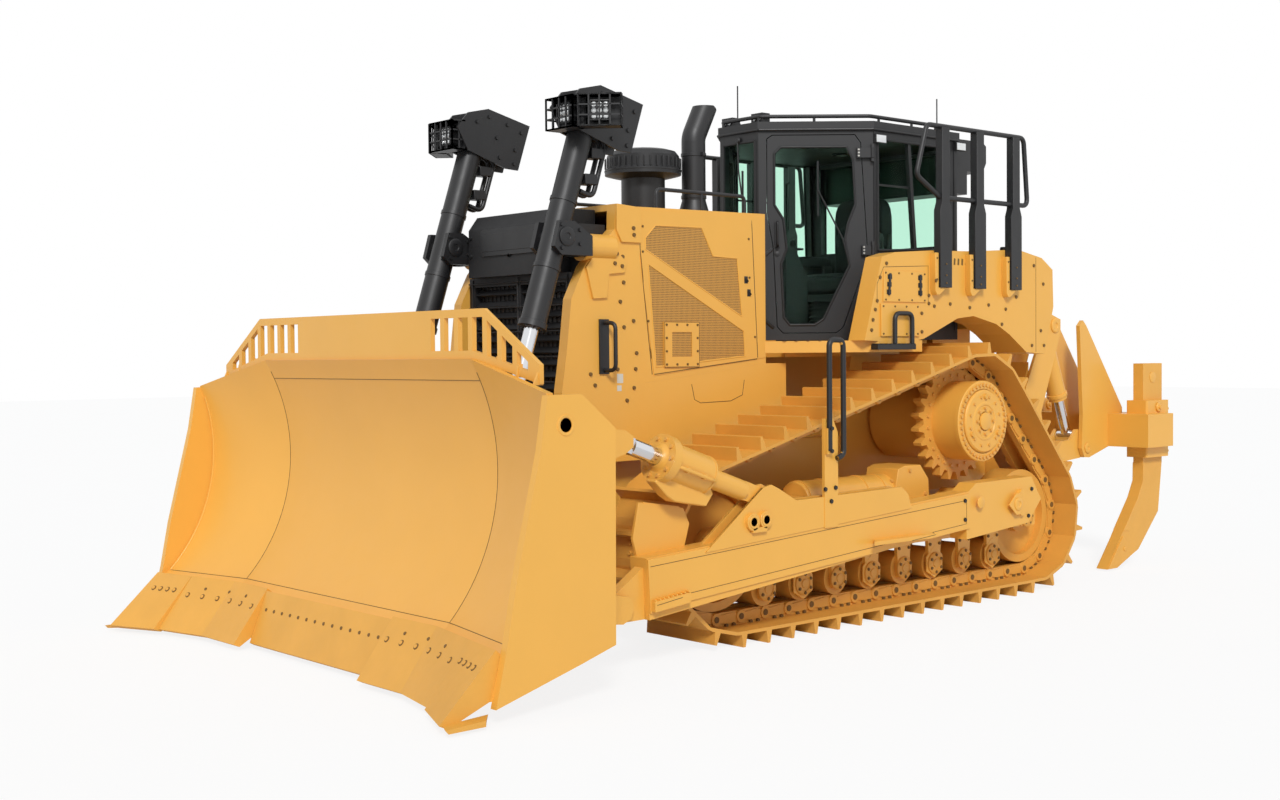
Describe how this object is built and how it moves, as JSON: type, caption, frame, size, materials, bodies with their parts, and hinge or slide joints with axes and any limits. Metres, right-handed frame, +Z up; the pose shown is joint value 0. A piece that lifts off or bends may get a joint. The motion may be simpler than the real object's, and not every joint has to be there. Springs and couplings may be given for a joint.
{
  "type": "bulldozer",
  "caption": "Track-type bulldozer with a wide curved blade on push arms, an enclosed cab, elevated drive sprockets and a rear ripper with one shank.",
  "frame": {"origin": "middle of the footprint in plan, on the ground under the grousers", "axes": "+Z up; the machine faces -Y, +X is its left side"},
  "size_m": [3.934, 7.898, 3.76],
  "materials": {
    "yellow_paint": "satin",
    "dark_paint": "satin",
    "undercarriage_paint": "satin",
    "stack_metal": "satin",
    "window_glass": "gloss",
    "seat_fabric": "matte",
    "cab_plastic": "matte",
    "rod_chrome": "gloss"
  },
  "bodies": {
    "machine": {"ac_unit": "dark_paint", "air_precleaner": "dark_paint", "antennas": "dark_paint", "belly_guard": "yellow_paint", "cab_base": "yellow_paint", "cab_frame": "dark_paint", "cab_glass": "window_glass", "deck_rails": "dark_paint", "engine_block": "dark_paint", "equalizer_bar": "yellow_paint", "exhaust_stack": "stack_metal", "fender_left": "yellow_paint", "fender_right": "yellow_paint", "final_drives": "yellow_paint", "fuel_tank": "yellow_paint", "hood": "yellow_paint", "hood_screens": "dark_paint", "idlers": "undercarriage_paint", "lift_yokes": "dark_paint", "main_frame": "yellow_paint", "operator_console": "cab_plastic", "operator_seat": "seat_fabric", "pivot_shaft": "yellow_paint", "radiator_grille": "dark_paint", "radiator_guard": "yellow_paint", "ripper_mount": "yellow_paint", "roller_frame_left": "yellow_paint", "roller_frame_right": "yellow_paint", "sprockets": "undercarriage_paint", "track_left": "undercarriage_paint", "track_right": "undercarriage_paint", "track_rollers": "undercarriage_paint", "work_lamps": "dark_paint"},
    "push_frame": {"push_arm_left": "yellow_paint", "push_arm_right": "yellow_paint"},
    "blade": {"blade_moldboard": "yellow_paint", "blade_end_plates": "yellow_paint", "cutting_edges": "yellow_paint", "rock_guard": "yellow_paint"},
    "tilt_cylinder_barrels": {"tilt_barrels": "yellow_paint"},
    "tilt_cylinder_rods": {"tilt_rods": "rod_chrome"},
    "lift_cylinder_barrels": {"lift_barrels": "dark_paint", "lamp_heads": "dark_paint"},
    "lift_cylinder_rods": {"lift_rods": "rod_chrome"},
    "cab_door_left": {"door_left": "dark_paint", "door_glass_left": "window_glass"},
    "cab_door_right": {"door_right": "dark_paint", "door_glass_right": "window_glass"},
    "ripper_linkage": {"ripper_link": "yellow_paint"},
    "ripper_carrier": {"ripper_pins": "yellow_paint"},
    "ripper": {"ripper_frame": "yellow_paint", "ripper_shank": "yellow_paint"},
    "ripper_lift_barrel_pair": {"ripper_lift_barrels": "yellow_paint"},
    "ripper_lift_rod_pair": {"ripper_lift_rods": "rod_chrome"},
    "ripper_tilt_barrel_pair": {"ripper_tilt_barrels": "yellow_paint"},
    "ripper_tilt_rod_pair": {"ripper_tilt_rods": "rod_chrome"}
  },
  "joints": [
    {"name": "blade_lift", "type": "hinge", "parent": "machine", "child": "push_frame", "pos_m": [0, 1.295, 0.713], "axis": [-1, 0, 0], "range_deg": [-6.9, 14]},
    {"name": "blade_pitch", "type": "hinge", "parent": "push_frame", "child": "blade", "pos_m": [0, -2.445, 0.384], "axis": [-1, 0, 0], "range_deg": [-6, 6]},
    {"name": "tilt_barrel_swing", "type": "hinge", "parent": "push_frame", "child": "tilt_cylinder_barrels", "pos_m": [0, -1.272, 0.907], "axis": [-1, 0, 0], "range_deg": [-1.42, 1.42]},
    {"name": "tilt_rod_slide", "type": "slide", "parent": "tilt_cylinder_barrels", "child": "tilt_cylinder_rods", "axis": [0, -0.9449, 0.3273], "range_m": [-0.09351, 0.09351]},
    {"name": "lift_barrel_swing", "type": "hinge", "parent": "machine", "child": "lift_cylinder_barrels", "pos_m": [0, -2.157, 2.5], "axis": [-1, 0, 0], "range_deg": [-4.78, 9.7]},
    {"name": "lift_rod_slide", "type": "slide", "parent": "lift_cylinder_barrels", "child": "lift_cylinder_rods", "axis": [0, -0.3107, -0.9505], "range_m": [-0.94348, 0.465]},
    {"name": "door_left_swing", "type": "hinge", "parent": "machine", "child": "cab_door_left", "pos_m": [0.74913, 0.61816, 2.8], "axis": [0, 0, 1], "range_deg": [0, 62]},
    {"name": "door_right_swing", "type": "hinge", "parent": "machine", "child": "cab_door_right", "pos_m": [-0.74913, 0.61816, 2.8], "axis": [0, 0, -1], "range_deg": [0, 62]},
    {"name": "ripper_lift", "type": "hinge", "parent": "machine", "child": "ripper_linkage", "pos_m": [0, 2.56, 0.93], "axis": [1, 0, 0], "range_deg": [-25, 28]},
    {"name": "ripper_parallel", "type": "hinge", "parent": "ripper_linkage", "child": "ripper_carrier", "pos_m": [0, 3.205, 0.985], "axis": [1, 0, 0], "range_deg": [-28.56, 25.5]},
    {"name": "ripper_tilt", "type": "hinge", "parent": "ripper_carrier", "child": "ripper", "pos_m": [0, 3.205, 0.985], "axis": [1, 0, 0], "range_deg": [-6, 9]},
    {"name": "ripper_lift_barrel_swing", "type": "hinge", "parent": "machine", "child": "ripper_lift_barrel_pair", "pos_m": [0, 2.75, 1.99], "axis": [1, 0, 0], "range_deg": [-1.78, 1.99]},
    {"name": "ripper_lift_rod_slide", "type": "slide", "parent": "ripper_lift_barrel_pair", "child": "ripper_lift_rod_pair", "axis": [0, 0.3835, -0.9235], "range_m": [-0.2769, 0.24723]},
    {"name": "ripper_tilt_barrel_swing", "type": "hinge", "parent": "machine", "child": "ripper_tilt_barrel_pair", "pos_m": [0, 2.495, 1.905], "axis": [1, 0, 0], "range_deg": [-25.5, 28.56]},
    {"name": "ripper_tilt_rod_slide", "type": "slide", "parent": "ripper_tilt_barrel_pair", "child": "ripper_tilt_rod_pair", "axis": [0, 0.9964, 0.085], "range_m": [-0.15562, 0.10375]}
  ],
  "couplings": [
    {"joint": "tilt_barrel_swing", "follows": "blade_pitch", "ratio": 0.2321},
    {"joint": "tilt_rod_slide", "follows": "blade_pitch", "m_per_rad": -0.8754},
    {"joint": "lift_barrel_swing", "follows": "blade_lift", "ratio": 0.6794},
    {"joint": "lift_rod_slide", "follows": "blade_lift", "m_per_rad": -3.8497},
    {"joint": "ripper_parallel", "follows": "ripper_lift", "ratio": -1},
    {"joint": "ripper_lift_barrel_swing", "follows": "ripper_lift", "ratio": 0.0698},
    {"joint": "ripper_lift_rod_slide", "follows": "ripper_lift", "m_per_rad": -0.5638},
    {"joint": "ripper_tilt_barrel_swing", "follows": "ripper_lift", "ratio": 1},
    {"joint": "ripper_tilt_rod_slide", "follows": "ripper_tilt", "m_per_rad": -0.9713}
  ]
}
